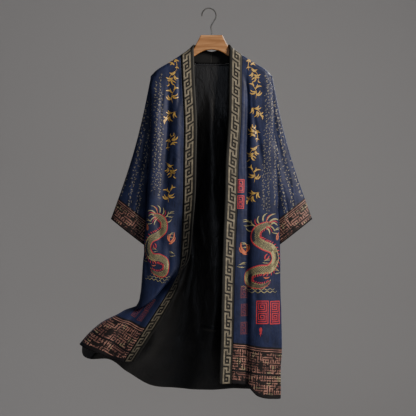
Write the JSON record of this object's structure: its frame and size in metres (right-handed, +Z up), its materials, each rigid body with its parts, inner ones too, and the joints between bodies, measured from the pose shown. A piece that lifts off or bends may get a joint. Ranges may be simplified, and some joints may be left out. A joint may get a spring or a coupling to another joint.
{
  "type": "long kimono on a wooden hanger",
  "caption": "Long open-front kimono with key-pattern neckband, printed borders and a black lining, its right hem blown out, on a wooden hanger with a metal hook",
  "frame": {"origin": "The point inside the hook's bend where the hanger hangs from a wire or rail.", "axes": "+Z up, -Y the open front that faces the viewer, +X to the viewer's right, which is the wearer's left. Metres."},
  "size_m": [0.8095, 0.2601, 1.3589],
  "materials": {
    "outer_cloth": "navy satin-weave cloth with printed motifs and borders",
    "lining": "black satin lining",
    "neckband": "black cloth printed with a cream key pattern",
    "hanger_wood": "satin varnish",
    "hook_metal": "plain wire"
  },
  "bodies": {
    "root": {"back_upper": "outer_cloth", "back_lower": "outer_cloth", "left_front_upper": "outer_cloth", "left_front_lower": "outer_cloth", "right_front_upper": "outer_cloth", "right_front_lower": "outer_cloth", "left_sleeve_upper": "outer_cloth", "left_sleeve_lower": "outer_cloth", "right_sleeve_upper": "outer_cloth", "right_sleeve_lower": "outer_cloth", "back_lining": "lining", "left_neckband": "neckband", "left_collar": "neckband", "right_neckband": "neckband", "right_collar": "neckband", "hanger": "hanger_wood", "hook": "hook_metal"}
  },
  "joints": []
}
